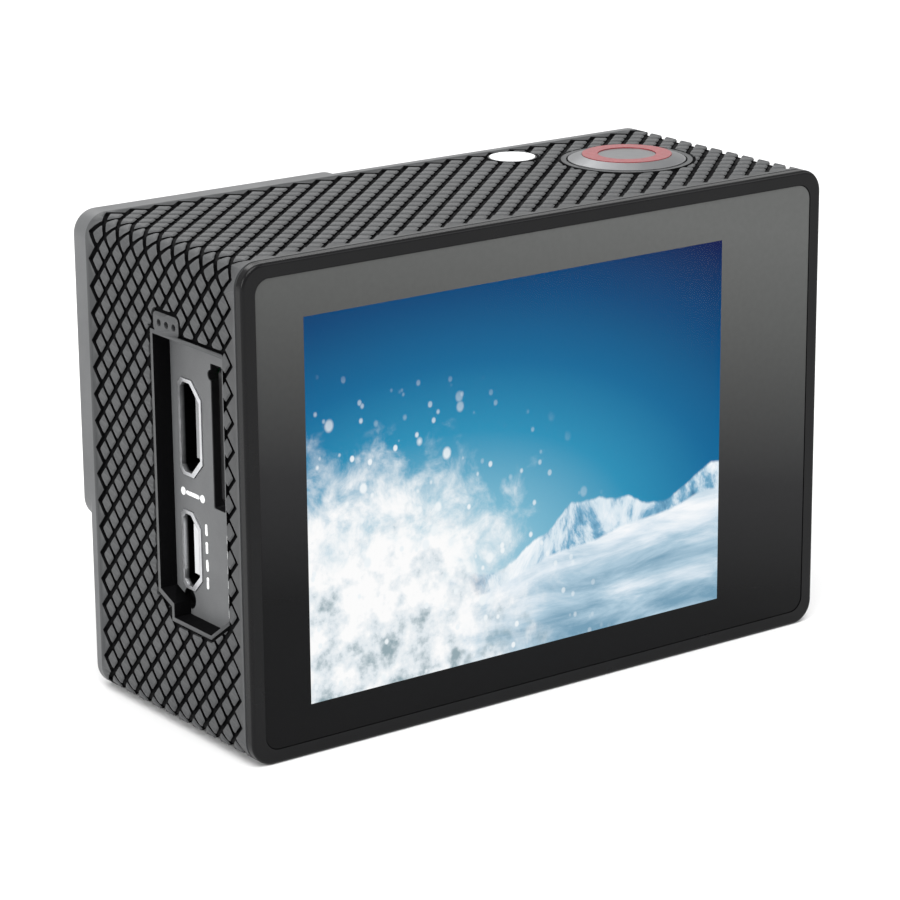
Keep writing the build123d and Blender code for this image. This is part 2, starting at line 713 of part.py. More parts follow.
def battery_door():
    half = DOOR_HALF
    door = slab_z((DOOR_END, HINGE_X), around(0, half), (0, WALL))
    door += rod_y(HINGE_X, HINGE_Z, WALL / 2, around(0, half))
    door -= rod_y(HINGE_X, HINGE_Z, PIN_R + 0.05, around(0, half + 1))
    latch_x, latch_y, _ = latch_plate()
    door -= slab_z((latch_x[0] - SLIP, latch_x[1] + LATCH_TRAVEL + SLIP), grown(latch_y, SLIP), (-1, 0.75))
    tongue_x, tongue_y, tongue_z = latch_tongue()
    cavity_x = (tongue_x[0] - 1, tongue_x[1] + LATCH_TRAVEL + SLIP)
    return door - slab_z(cavity_x, grown(tongue_y, SLIP), (0.7, tongue_z[1] + 0.05))


def latch_plate():
    return (-24.8, -21.2), (-2.4, 2.4), (0.06, 0.7)


def latch_tongue():
    return (DOOR_END, -22.0), (-1.2, 1.2), (0.7, 1.1)


def door_latch():
    x, y, z = latch_plate()
    latch = slab_z(x, y, z, 0.4)
    for n in range(4):
        latch -= slab_z(around(x[0] + 0.75 + n * 0.7, 0.14), grown(y, -0.5), (-1, z[0] + 0.25))
    tongue_x, tongue_y, tongue_z = latch_tongue()
    return latch + slab_z(tongue_x, tongue_y, tongue_z)


def hinge_pin():
    return rod_y(HINGE_X, HINGE_Z, PIN_R, around(0, PIN_HALF))


def door_pad():
    return slab_z((-18.0, 0.0), (-4.0, 4.0), (WALL, WALL + 0.2), 0.5)


def front_screws():
    """Four small screws that hold the front cover to the side housing."""
    screws = []
    for x, z in SCREWS:
        head = rod_y(x, z, SCREW_HEAD_R, (HEAD_SEAT - SCREW_HEAD_T, HEAD_SEAT))
        slot = slab_y(around(x, 0.8), (HEAD_SEAT - SCREW_HEAD_T, HEAD_SEAT - 0.4), around(z, 0.15))
        slot += slab_y(around(x, 0.15), (HEAD_SEAT - SCREW_HEAD_T, HEAD_SEAT - 0.4), around(z, 0.8))
        screws.append(head - slot + rod_y(x, z, SCREW_R, (HEAD_SEAT, SCREW_END)))
    return screws


PARTS = (
    front_cover, face_plate, status_window, status_display, side_housing, rear_cover,
    screen_window, window_mask, lcd_panel, backlight_tray, light_guide, screen_ribbon, ribbon_connector,
    main_board, processor, memory_chips, board_parts,
    port_panel, usb_shell, usb_tongue, hdmi_shell, hdmi_tongue, card_socket, memory_card,
    lens_ring, lens_cone, front_glass, inner_glasses, lens_barrel, lens_holder,
    infrared_filter, image_sensor, sensor_board, sensor_connector,
    shutter_cap, shutter_ring, shutter_centre, shutter_switch, top_board,
    status_lamp, lamp_led, mode_button, mode_switch, front_board,
    up_key, down_key, key_boards, key_switches, speaker, microphone,
    battery_bay, battery, battery_cap, battery_contacts, bay_terminals,
    battery_door, door_latch, door_pad, hinge_pin, front_screws,
)


def main():
    os.makedirs("parts", exist_ok=True)
    for make in PARTS:
        made = make()
        solids = []
        for piece in made if isinstance(made, list) else [made]:
            solids += piece.solids()
        export_step(Compound(children=solids), f"parts/{make.__name__}.step")


main()
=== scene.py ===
"""Looks for a pocket action camera: a knurled grey case, a black screen cover and side ports.

The scene is in metres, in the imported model's frame: +Z up, lens along -Y, screen on +Y and
ports on +X. Shapes are worked out in millimetres and scaled by MM when a mesh is made.
"""
import json
import math

import bmesh
import bpy
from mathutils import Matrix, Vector


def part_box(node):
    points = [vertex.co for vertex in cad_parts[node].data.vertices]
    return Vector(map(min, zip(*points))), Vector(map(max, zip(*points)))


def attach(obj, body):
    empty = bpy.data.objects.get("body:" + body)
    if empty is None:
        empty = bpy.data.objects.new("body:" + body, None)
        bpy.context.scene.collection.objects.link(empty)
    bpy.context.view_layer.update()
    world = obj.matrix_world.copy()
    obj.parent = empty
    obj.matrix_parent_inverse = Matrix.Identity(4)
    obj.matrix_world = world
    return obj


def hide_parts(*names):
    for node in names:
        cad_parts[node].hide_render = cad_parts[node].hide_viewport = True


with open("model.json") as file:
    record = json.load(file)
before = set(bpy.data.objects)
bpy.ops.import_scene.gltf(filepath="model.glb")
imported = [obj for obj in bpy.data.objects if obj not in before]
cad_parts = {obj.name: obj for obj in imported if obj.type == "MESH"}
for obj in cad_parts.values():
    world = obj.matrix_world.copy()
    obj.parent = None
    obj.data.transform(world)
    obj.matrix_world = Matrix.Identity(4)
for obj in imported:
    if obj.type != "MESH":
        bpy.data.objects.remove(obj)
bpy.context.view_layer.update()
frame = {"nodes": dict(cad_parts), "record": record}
MM = 0.001


def box(node):
    """The lowest and highest corners of a CAD node, in millimetres."""
    low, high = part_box(node)
    return low / MM, high / MM


def middle(node):
    """The middle of a CAD node's box, in millimetres."""
    low, high = box(node)
    return (low + high) / 2


# ---------------------------------------------------------------- sizes, in millimetres
CASE_HIGH = box("side_housing")[1]
FRONT = box("face_plate")[0].y
REAR = box("rear_cover")[1].y
MID = (FRONT + REAR) / 2  # of the case's depth
SIDE, HEIGHT = CASE_HIGH.x, CASE_HIGH.z
CORNER = 2.0
ARC = CORNER * math.pi / 2

# The lit picture.
SCREEN_X, SCREEN_Z, SCREEN_W, SCREEN_H = 2.7, 20.3, 42.6, 32.0
PIXEL_PITCH = 0.12

# The diamond grip: a band round the case.
GRIP_HALF = 10.5  # half of the band's width along Y
COLUMNS, ROWS = 10, 86
FIRST_ROW = 1.6  # from the top of the port side's flat to the middle of the first row
GROOVE = 0.42
GROOVE_DEPTH = 0.27
PAD_BEVEL = 0.11
PAD_SHOULDER = 0.1
PAD_SINK = 0.05  # how far a pad reaches into the groove's floor
PAD_CUTS = (-0.93, -0.5, -0.07, 0.07, 0.5, 0.93)  # places along a pad, as shares of its half length
PAD_GAP = 0.3  # between the pads and a plain patch
PERIMETER = 2 * (2 * SIDE + HEIGHT - 4 * CORNER) + 4 * ARC
ROW_STEP = PERIMETER / ROWS
COLUMN_STEP = 2 * GRIP_HALF / COLUMNS
PAD_REACH = ROW_STEP * COLUMN_STEP / (2 * math.hypot(ROW_STEP, COLUMN_STEP))
BAND_EDGE = GROOVE / 2 * math.hypot(ROW_STEP, COLUMN_STEP) / ROW_STEP

# What interrupts the grip. A rim is the plain margin round an opening.
RECESS_Y, RECESS_Z = (MID - 1.1, MID + 9.25), (9.7, 33.2)
RECESS_STEP = 2.0  # the cut at the recess's lower corners
RECESS_RIM = 0.35
RECESS_DEPTH = 1.62
RECESS_SLACK = 0.1  # for telling the recess's walls from the case's other faces
DOT_PATCH = (MID + 1.0, 34.3, 3.8, 1.7, 0.5)  # centre, width, height and corner radius
KEY_UP, KEY_DOWN = middle("up_key").z, middle("down_key").z
KEY_PATCH = (8.9, 5.9, 1.9)  # width, height and corner radius
SPEAKER_Z, SPEAKER_R = middle("speaker").z, 3.2
SHUTTER, SHUTTER_R = middle("shutter_ring").xy[:], 5.75
LAMP, LAMP_R = middle("status_lamp").xy[:], 2.15
DOOR_LOW, DOOR_HIGH = box("battery_door")
DOOR_MID = middle("battery_door").xy[:]
DOOR_SIZE = (DOOR_HIGH - DOOR_LOW).xy[:]
DOOR_RIM, DOOR_R = 0.25, 0.3
DOOR_BORDER, DOOR_FIELD_R = 0.5, 0.4  # the plain margin round the door's own pads
LATCH_TRAVEL, LATCH_SLIP = 1.2, 0.15
LATCH_RIM, LATCH_R = 0.3, 0.5
CUTTER_REACH = 1.0  # how far a cutter passes the case's surface, inward and outward
BAND_REACH = 0.5  # how far the band's cutter stands out of that surface

# Marks and fine patterns.
POINTER_HALF, POINTER_LOW, POINTER_HIGH = 1.1, 0.6, 0.8  # from the key's middle
POINTER_DEPTH = 0.08
PRINT_THICKNESS = 0.03
SYMBOL_DASH = (2.0, 0.34)
SYMBOL_DOT, SYMBOL_DOT_R = 1.45, 0.34  # from the dash's middle to a dot's
WIDE_DASH, WIDE_PITCH = (0.34, 1.0), 1.5
FINE_DASH, FINE_PITCH = (0.26, 0.8), 1.25
RIBBON_STRAND = 0.5


# ---------------------------------------------------------------- materials
def linear(red, green, blue):
    """A colour given as 0 to 255 in sRGB, in linear light."""
    values = (red, green, blue)
    return tuple(((c / 255 + 0.055) / 1.055) ** 2.4 if c > 10 else c / 255 / 12.92 for c in values)


# The black ink behind the screen's glass, with a painted reflection: a grey fade from the bottom of
# the case to its top.
INK_AND_REFLECTION_STOPS = [
    (0.0, linear(6, 6, 7)),
    (0.2, linear(10, 10, 11)),
    (0.45, linear(34, 34, 35)),
    (0.8, linear(72, 73, 72)),
    (1.0, linear(84, 85, 84)),
]
REFLECTION_TILT = 0.2  # how much higher the painted reflection's tones lie, per unit of length towards the ports
CLEAR_ALPHA = 0.03  # of the glass over the picture
MASK_MARGIN = 1.0  # how far from the picture the layer under the glass ends


class Shader:
    """A material whose nodes are written as expressions. Sizes are in millimetres of the object."""

    def __init__(self, name, **inputs):
        self.name = name
        self.material = bpy.data.materials.new(name)
        self.material.use_nodes = True
        self.tree = self.material.node_tree
        self.surface = self.tree.nodes["Principled BSDF"]
        self.place = self.add("TexCoord").outputs["Object"]
        self.set(**inputs)

    def put(self, socket, value):
        if isinstance(value, bpy.types.NodeSocket):
            self.tree.links.new(value, socket)
        elif socket.type == "RGBA":
            socket.default_value = (*value[:3], 1.0)
        else:
            socket.default_value = value

    def set(self, **inputs):
        """Sets the surface's sockets: base_color is Base Color, and so on."""
        for name, value in inputs.items():
            title = name.replace("_", " ").title().replace("Ior", "IOR")
            self.put(self.surface.inputs[title], value)

    def add(self, kind, inputs=None, **settings):
        node = self.tree.nodes.new("ShaderNode" + kind)
        for name, value in settings.items():
            setattr(node, name, value)
        for name, value in (inputs or {}).items():
            self.put(node.inputs[name], value)
        return node

    def math(self, operation, *values):
        return self.add("Math", dict(enumerate(values)), operation=operation).outputs[0]

    def axes(self, vector=None):
        """The X, Y and Z of a vector, by default of the place in metres."""
        return self.add("SeparateXYZ", {0: vector or self.place}).outputs

    def stretched(self, x=1.0, y=1.0, z=1.0, turn=0.0):
        inputs = {"Vector": self.place, "Scale": (x, y, z), "Rotation": (0, turn, 0)}
        return self.add("Mapping", inputs).outputs[0]

    def noise(self, size, detail=3.0, roughness=0.55, vector=None, distortion=0.0):
        """Noise whose lumps are about size millimetres across."""
        inputs = {"Vector": vector or self.place, "Scale": 1 / (size * MM), "Detail": detail}
        inputs.update({"Roughness": roughness, "Distortion": distortion})
        return self.add("TexNoise", inputs).outputs["Fac"]

    def cells(self, size, vector=None, feature="F1"):
        inputs = {"Vector": vector or self.place, "Scale": 1 / (size * MM)}
        return self.add("TexVoronoi", inputs, feature=feature).outputs["Distance"]

    def span(self, value, low, high, to_low=0.0, to_high=1.0, smooth=False):
        """A value moved from one range to another and held at its ends."""
        inputs = {"Value": value, "From Min": low, "From Max": high}
        inputs.update({"To Min": to_low, "To Max": to_high})
        kind = "SMOOTHSTEP" if smooth else "LINEAR"
        return self.add("MapRange", inputs, interpolation_type=kind).outputs[0]

    def vary(self, noise, low, high):
        """A noise, nearly all of which lies from 0.3 to 0.7, moved to another range."""
        return self.span(noise, 0.3, 0.7, low, high)

    def mix(self, share, first, second, blend="MIX"):
        node = self.add("Mix", data_type="RGBA", blend_type=blend)
        for number, value in ((0, share), (6, first), (7, second)):
            self.put(node.inputs[number], value)
        return node.outputs[2]

    def ramp(self, value, stops, smooth=False):
        """A colour ramp over (place, colour) stops."""
        node = self.add("ValToRGB", {0: value})
        node.color_ramp.interpolation = "EASE" if smooth else "LINEAR"
        points = node.color_ramp.elements
        for _ in stops[2:]:
            points.new(0.5)
        for point, (place, color) in zip(points, stops):
            point.position = place
            point.color = (*color, 1.0)
        return node.outputs[0]

    def bump(self, height, depth, strength):
        """Raises the surface by height, from 0 to 1, times depth in millimetres."""
        inputs = {"Height": height, "Distance": depth * MM, "Strength": strength}
        socket = self.surface.inputs["Normal"]
        if socket.links:
            inputs["Normal"] = socket.links[0].from_socket
        self.put(socket, self.add("Bump", inputs).outputs[0])


def moulded(name, color, roughness, grain=0.08, depth=0.006, shift=0.12, **inputs):
    """Moulded plastic: fine spark-eroded grain, with slow changes of colour and gloss."""
    s = Shader(name, **inputs)
    slow, fine = s.noise(7.0, 4.0), s.noise(grain, 2.0)
    clouds, specks = s.vary(slow, 1 - shift, 1 + shift), s.vary(fine, -0.5 * shift, 0.5 * shift)
    s.set(base_color=s.mix(1.0, color, s.math("ADD", clouds, specks), "MULTIPLY"))
    s.set(roughness=s.vary(s.noise(2.5, 5.0), roughness * 0.88, roughness * 1.12))
    s.bump(fine, depth, 0.6)
    return s


def black_gloss():
    s = Shader("black_gloss", specular_ior_level=0.15)
    haze = s.noise(4.0, 5.0)
    s.set(base_color=s.mix(haze, linear(8, 8, 9), linear(16, 16, 17)))
    s.set(roughness=s.vary(haze, 0.2, 0.28))
    s.bump(s.noise(9.0, 2.0), 0.02, 0.25)
    return s


def screen_glass():
    """The screen's cover: inked on its outer face, but for the part over the picture. The ink's
    grey fade towards the top is a painted reflection.
    """
    s = Shader("screen_glass", specular_ior_level=0.1, ior=1.5)
    inked = s.span(in_picture(s), -0.01 * MM, 0.01 * MM, 1.0, 0.0)
    inner = box("screen_window")[0].y
    outer = s.span(s.axes()[1], (inner + 0.1) * MM, (inner + 0.12) * MM)
    alpha = s.span(s.math("MULTIPLY", inked, outer), 0.0, 1.0, CLEAR_ALPHA, 1.0)
    # Base colour: black ink with a painted reflection that greys towards the top.
    s.set(base_color=ink_and_painted_reflection(s), alpha=alpha)
    s.set(roughness=s.span(s.noise(11.0, 3.0, distortion=1.5), 0.35, 0.75, 0.02, 0.06))
    return s


def in_picture(s):
    """How far inside the lit picture a point is, in metres; less than 0 beside it."""
    x, _, z = s.axes()
    gaps = []
    for place, centre, size in ((x, SCREEN_X, SCREEN_W), (z, SCREEN_Z, SCREEN_H)):
        off = s.math("ABSOLUTE", s.math("SUBTRACT", place, centre * MM))
        gaps.append(s.math("SUBTRACT", size / 2 * MM, off))
    return s.math("MINIMUM", *gaps)


def ink_and_painted_reflection(s):
    """The colour of the screen's ink with a painted reflection on it: greyer towards the top and a
    little towards the key side.
    """
    x, _, z = s.axes()
    # The painted reflection's height, tilted a little towards the key side.
    height = s.span(s.math("SUBTRACT", z, s.math("MULTIPLY", x, REFLECTION_TILT)), 0.0, HEIGHT * MM)
    fine = s.vary(s.noise(0.5, 2.0), 0.97, 1.03)
    return s.mix(1.0, s.ramp(height, INK_AND_REFLECTION_STOPS), fine, "MULTIPLY")


def lens_glass(name, ior, tint):
    """Coated glass: it reflects little, and that in its coating's colour."""
    s = Shader(name, base_color=(0.82, 0.87, 0.95), transmission_weight=1.0, ior=ior)
    s.set(specular_tint=tint)
    s.set(roughness=s.span(s.noise(6.0), 0.3, 0.8, 0.0, 0.02))
    return s


def mask_ink():
    """The layer under the glass. It ends beside the picture, where the glass's own ink goes on. Its
    colour is the black ink with the same painted reflection, greyer towards the top.
    """
    s = Shader("mask_ink", roughness=0.5)
    shown = s.span(in_picture(s), -MASK_MARGIN * MM, (0.1 - MASK_MARGIN) * MM, 1.0, 0.0)
    # Ink with a painted reflection that greys towards the top.
    s.set(base_color=ink_and_painted_reflection(s), alpha=shown)
    return s


def brushed_steel():
    s = Shader("steel", metallic=1.0)
    streaks = s.noise(0.35, 4.0, vector=s.stretched(1.0, 1.0, 0.12))
    s.set(base_color=s.mix(streaks, linear(160, 160, 162), linear(225, 225, 228)))
    s.set(roughness=s.vary(streaks, 0.22, 0.4))
    s.bump(streaks, 0.004, 0.5)
    return s


def spun(name, dark, light, roughness, centre, plane=(0, 1)):
    """Metal turned about centre in the plane of two axes, with fine concentric lines."""
    s = Shader(name, metallic=0.7)
    axes = s.axes()
    squares = []
    for axis, place in zip(plane, centre):
        squares.append(s.math("POWER", s.math("SUBTRACT", axes[axis], place * MM), 2.0))
    radius = s.math("SQRT", s.math("ADD", *squares))
    where = s.add("CombineXYZ", {0: radius}).outputs[0]
    lines = s.noise(0.06, 3.0, 0.7, vector=where)
    cloud = s.noise(1.6, 4.0)
    tone = s.math("ADD", s.math("MULTIPLY", lines, 0.5), s.math("MULTIPLY", cloud, 0.5))
    s.set(base_color=s.mix(tone, dark, light))
    s.set(roughness=s.vary(cloud, roughness * 0.85, roughness * 1.15))
    s.bump(lines, 0.004, 0.5)
    return s


def red_ring():
    s = Shader("red_ring", coat_weight=0.15, coat_roughness=0.1, subsurface_weight=0.15)
    s.set(subsurface_radius=(0.001, 0.0003, 0.0002), subsurface_scale=1.0)
    s.set(base_color=s.mix(s.noise(0.9, 4.0), linear(108, 24, 30), linear(142, 42, 48)))
    s.set(roughness=s.vary(s.noise(0.4), 0.28, 0.38))
    s.bump(s.noise(0.12), 0.004, 0.4)
    return s


def lamp_plastic():
    s = Shader("lamp_plastic", subsurface_weight=0.4, subsurface_scale=1.0)
    s.set(subsurface_radius=(0.001, 0.001, 0.001))
    s.set(base_color=s.mix(s.noise(0.8, 3.0), linear(232, 234, 235), linear(250, 251, 251)))
    s.set(roughness=s.vary(s.noise(0.5), 0.22, 0.32))
    return s


def recess_plastic():
    """The recess's floor is grey, and the slot's and the sockets' edges under it are black with
    painted shade.
    """
    s = moulded("recess_plastic", linear(90, 91, 92), 0.5, specular_ior_level=0.3)
    return painted_shade_inside(s, 0.05, 0.12, linear(8, 8, 9))


def port_metal():
    """Bright plated rims, with painted shade that darkens the walls further in."""
    s = Shader("port_metal", metallic=0.9)
    wear = s.noise(0.5, 5.0)
    s.set(base_color=s.mix(wear, linear(178, 179, 181), linear(220, 221, 223)))
    s.set(roughness=s.vary(wear, 0.3, 0.42))
    s.bump(wear, 0.003, 0.5)
    return painted_shade_inside(s, 0.0, 0.35, linear(6, 6, 7))


def painted_shade_inside(s, start, end, dark):
    """Painted shade: fades a colour to dark from start to end millimetres inside the port panel's
    face.
    """
    face = box("port_panel")[1].x
    # Painted shade: the deeper inside the panel, the darker.
    shade_share = s.span(s.axes()[0], (face - end) * MM, (face - start) * MM)
    color = s.surface.inputs["Base Color"].links[0].from_socket
    s.set(base_color=s.mix(shade_share, dark, color))
    return s


def white_ink():
    """Printed white marks, thin enough for the grain under them to show."""
    s = Shader("white_ink", specular_ior_level=0.3)
    worn = s.noise(0.3, 5.0)
    s.set(base_color=s.mix(s.span(worn, 0.35, 0.6), linear(190, 191, 191), linear(240, 241, 241)))
    s.set(roughness=s.vary(worn, 0.5, 0.65))
    s.bump(s.noise(0.1), 0.004, 0.5)
    return s


def circuit_board():
    s = Shader("circuit_board", coat_weight=0.3)
    lines = s.cells(1.1, feature="DISTANCE_TO_EDGE")
    track = s.span(lines, 0.04, 0.09)
    s.set(base_color=s.mix(track, linear(36, 120, 70), linear(14, 70, 40)))
    s.set(roughness=s.vary(s.noise(0.6), 0.3, 0.45))
    s.bump(track, -0.02, 0.5)
    return s


def gold_contact():
    s = Shader("gold_contact", metallic=1.0)
    wear = s.noise(0.5, 5.0)
    s.set(base_color=s.mix(wear, linear(196, 158, 84), linear(238, 208, 140)))
    s.set(roughness=s.vary(wear, 0.2, 0.38))
    s.bump(wear, 0.003, 0.4)
    return s


def ribbon_film():
    s = Shader("ribbon", coat_weight=0.4)
    wave = s.math("SINE", s.math("MULTIPLY", s.axes()[2], 2 * math.pi / (RIBBON_STRAND * MM)))
    strands = s.span(wave, -0.3, 0.3)
    s.set(base_color=s.mix(strands, linear(190, 110, 30), linear(225, 150, 60)))
    s.set(roughness=s.vary(s.noise(0.8), 0.3, 0.4))
    return s


def foam():
    s = Shader("foam", roughness=0.95)
    pores = s.cells(0.35)
    s.set(base_color=s.mix(s.span(pores, 0.1, 0.5), linear(24, 24, 25), linear(52, 52, 53)))
    s.bump(pores, 0.08, 0.8)
    return s


def battery_wrap():
    s = Shader("battery_wrap", coat_weight=0.2, metallic=0.2)
    crinkle = s.noise(3.0, 6.0, 0.6, vector=s.stretched(1.0, 1.0, 0.3))
    s.set(base_color=s.mix(crinkle, linear(60, 64, 70), linear(84, 89, 96)))
    s.set(roughness=s.vary(crinkle, 0.3, 0.42))
    s.bump(crinkle, 0.03, 0.5)
    return s


def snow_picture():
    """The lit screen: a generic snowy mountain under a blue sky, with powder snow in the air."""
    s = Shader("display", roughness=0.4, specular_ior_level=0.0)
    left, right = SCREEN_X + SCREEN_W / 2, SCREEN_X - SCREEN_W / 2
    bottom, top = SCREEN_Z - SCREEN_H / 2, SCREEN_Z + SCREEN_H / 2
    x, _, z = s.axes()
    u, v = s.span(x, left * MM, right * MM), s.span(z, bottom * MM, top * MM)
    picture = sky(s, u, v)
    picture = massif(s, u, v, x, picture)
    picture = near_slope(s, u, v, x, picture)
    picture = powder(s, u, v, picture)
    # The fine grid of the panel's pixels.
    pixels = s.math("SINE", s.math("MULTIPLY", x, 2 * math.pi / (PIXEL_PITCH * MM)))
    glow = s.mix(s.span(pixels, -1.0, 1.0, 0.0, 0.04), picture, (0.0, 0.0, 0.0))
    s.set(base_color=linear(4, 4, 5), emission_color=glow, emission_strength=1.06)
    return s


# In the functions below, u and v run from 0 to 1 across the picture and up it.
def away(s, u, v, at_u, at_v, across, up):
    """How far a point is from (at_u, at_v), with each direction's square scaled."""
    du = s.math("POWER", s.math("ABSOLUTE", s.math("SUBTRACT", u, at_u)), 2.0)
    dv = s.math("POWER", s.math("ABSOLUTE", s.math("SUBTRACT", v, at_v)), 2.0)
    return s.math("SQRT", s.math("MULTIPLY_ADD", du, across, s.math("MULTIPLY", dv, up)))


def ridge(s, u, v, x, line, size, wobble):
    """1 under a mountain line, and the depth under it. The line is a smooth curve with noise."""
    line = s.ramp(u, [(place, (height,) * 3) for place, height in line], smooth=True)
    rough = s.noise(size, 6.0, 0.6, vector=s.add("CombineXYZ", {0: x}).outputs[0])
    edge = s.math("ADD", line, s.span(rough, 0.25, 0.75, -wobble, wobble))
    below = s.math("SUBTRACT", edge, v)
    return s.span(below, -0.004, 0.004), below


def sky(s, u, v):
    stops = [
        (0.0, linear(196, 222, 233)),
        (0.2, linear(122, 184, 209)),
        (0.36, linear(48, 145, 184)),
        (0.52, linear(20, 106, 155)),
        (0.68, linear(11, 74, 124)),
        (0.86, linear(24, 30, 78)),
    ]
    return s.ramp(away(s, u, v, 0.3, 0.22, 0.52, 0.8), stops)


def massif(s, u, v, x, picture):
    """The far mountain and the shadows on its faces."""
    line = [(0.0, 0.26), (0.45, 0.22), (0.56, 0.29), (0.64, 0.36)]
    line += [(0.76, 0.35), (0.85, 0.3), (1.0, 0.38)]
    share, below = ridge(s, u, v, x, line, 5.0, 0.018)
    faces = s.noise(4.0, 8.0, 0.66, vector=s.stretched(1.0, 1.0, 0.55, 0.7), distortion=0.6)
    stops = [
        (0.3, linear(34, 104, 144)),
        (0.42, linear(120, 172, 202)),
        (0.5, linear(214, 230, 240)),
        (0.62, linear(246, 250, 253)),
    ]
    rock = s.ramp(s.math("ADD", faces, s.math("MULTIPLY", below, -0.35)), stops)
    return s.mix(share, picture, rock)


def near_slope(s, u, v, x, picture):
    """The slope in front, with wind streaks that run down to the left."""
    line = [(0.0, 0.14), (0.4, 0.17), (0.62, 0.235), (0.85, 0.275), (1.0, 0.31)]
    share, _ = ridge(s, u, v, x, line, 14.0, 0.012)
    streaks = s.noise(3.2, 6.0, 0.6, vector=s.stretched(0.28, 1.0, 1.3, -0.3), distortion=0.4)
    stops = [
        (0.25, linear(120, 160, 184)),
        (0.42, linear(174, 202, 219)),
        (0.56, linear(222, 234, 243)),
        (0.7, linear(250, 252, 254)),
    ]
    snow = s.ramp(s.math("ADD", streaks, s.span(v, 0.0, 0.3, -0.14, 0.1)), stops)
    return s.mix(share, picture, snow)


def powder(s, u, v, picture):
    """Snow in the air on the left: a cloud with soft lumps, and flying specks round its edge."""
    lumps = s.noise(3.6, 7.0, 0.62, distortion=0.3)
    reach = s.math("SUBTRACT", 0.5, away(s, u, v, 0.1, 0.14, 1.0, 0.85))
    thick = s.span(s.math("ADD", reach, s.vary(lumps, -0.13, 0.13)), 0.0, 0.28, smooth=True)
    stops = [
        (0.26, linear(150, 170, 178)),
        (0.4, linear(226, 234, 239)),
        (0.54, linear(254, 254, 254)),
    ]
    cloud = s.math("ADD", s.noise(2.2, 6.0, 0.6), s.span(v, 0.0, 0.35, -0.12, 0.05))
    picture = s.mix(thick, picture, s.ramp(cloud, stops))
    near_edge = s.span(reach, -0.16, 0.08)
    for size, radius in ((2.6, 0.17), (1.3, 0.2), (4.6, 0.11)):
        speck = s.span(s.cells(size, vector=s.stretched(1.0, 0.0, 0.8)), radius, radius * 0.6)
        picture = s.mix(s.math("MULTIPLY", speck, near_edge), picture, linear(240, 246, 249))
    return picture


def silver_cap():
    tones = linear(94, 95, 96), linear(132, 133, 135)
    return spun("silver_cap", *tones, 0.38, SHUTTER)


def mode_metal():
    x, _, z = middle("mode_button")
    tones = linear(104, 105, 107), linear(150, 151, 153)
    return spun("mode_metal", *tones, 0.36, (x, z), (0, 2))


SHADERS = (
    moulded("case_plastic", linear(63, 64, 65), 0.5, 0.1, 0.008, specular_ior_level=0.3),
    # Near-black painted shade for the grooves' floors and walls and the port recess's walls.
    moulded("groove_shade", linear(6, 6, 7), 0.7, 0.12, 0.01, specular_ior_level=0.05),
    moulded("cover_plastic", linear(84, 85, 86), 0.45, 0.07, 0.005, specular_ior_level=0.4),
    moulded("trim_plate", linear(58, 59, 61), 0.4, 0.05, 0.003, shift=0.05, metallic=0.4),
    moulded("black_plastic", linear(26, 26, 27), 0.45, 0.07, 0.005),
    moulded("tongue_plastic", linear(128, 129, 130), 0.4, 0.06),
    moulded("tin_plate", linear(222, 223, 224), 0.32, 0.05, metallic=0.35),
    moulded("chip", linear(30, 30, 32), 0.5, 0.12),
    moulded("card_plastic", linear(12, 12, 13), 0.4, 0.06),
    recess_plastic(),
    black_gloss(),
    screen_glass(),
    lens_glass("front_lens_glass", 1.32, (0.55, 0.5, 1.0)),
    lens_glass("inner_lens_glass", 1.14, (0.4, 1.0, 0.75)),
    port_metal(),
    mask_ink(),
    snow_picture(),
    brushed_steel(),
    white_ink(),
    silver_cap(),
    mode_metal(),
    red_ring(),
    lamp_plastic(),
    circuit_board(),
    gold_contact(),
    ribbon_film(),
    battery_wrap(),
    foam(),
)
MATERIALS = {shader.name: shader.material for shader in SHADERS}

# Nodes whose look differs from the rest of their slot.
SPECIAL = {
    "screen_window": "screen_glass",
    "mode_button": "mode_metal",
    "port_panel": "recess_plastic",
    "front_glass": "front_lens_glass",
    "inner_glasses": "inner_lens_glass",
    "infrared_filter": "inner_lens_glass",
    "usb_shell": "port_metal",
    "hdmi_shell": "port_metal",
    "usb_tongue": "tongue_plastic",
    "hdmi_tongue": "tin_plate",
}


def dress_nodes():
    """Gives every CAD node its slot's material."""
    for part in frame["record"]["subparts"]:
        node = frame["nodes"][part["node"]]
        node.data.materials.clear()
        node.data.materials.append(MATERIALS[SPECIAL.get(part["node"], part["material_slot"])])


# ---------------------------------------------------------------- mesh work
def new_object(name, vertices, faces, materials, slots=None):
    """A mesh object from points in millimetres; slots gives each face its material's number."""
    mesh = bpy.data.meshes.new(name)
    mesh.from_pydata([Vector(v) * MM for v in vertices], [], faces)
    for material in materials:
        mesh.materials.append(MATERIALS[material])
    if slots:
        mesh.polygons.foreach_set("material_index", slots)
    piece = bpy.data.objects.new(name, mesh)
    bpy.context.scene.collection.objects.link(piece)
    return piece


def carve(target, cutter, operation="DIFFERENCE"):
    """Cuts target with cutter, for good, and removes cutter."""
    step = target.modifiers.new("carve", "BOOLEAN")
    step.operation, step.object, step.solver = operation, cutter, "EXACT"
    bpy.context.view_layer.update()
    depsgraph = bpy.context.evaluated_depsgraph_get()
    carved = bpy.data.meshes.new_from_object(target.evaluated_get(depsgraph))
    target.modifiers.clear()
    target.data = carved
    bpy.data.objects.remove(cutter)


WELD = 0.0005


def copy_of(node, name):
    """A closed copy of a CAD node's mesh, its split vertices merged."""
    source = frame["nodes"][node].data
    piece = bpy.data.objects.new(name, source.copy())
    piece.data.name = name
    bpy.context.scene.collection.objects.link(piece)
    work = bmesh.new()
    work.from_mesh(piece.data)
    bmesh.ops.remove_doubles(work, verts=work.verts, dist=WELD * MM)
    work.to_mesh(piece.data)
    work.free()
    return piece


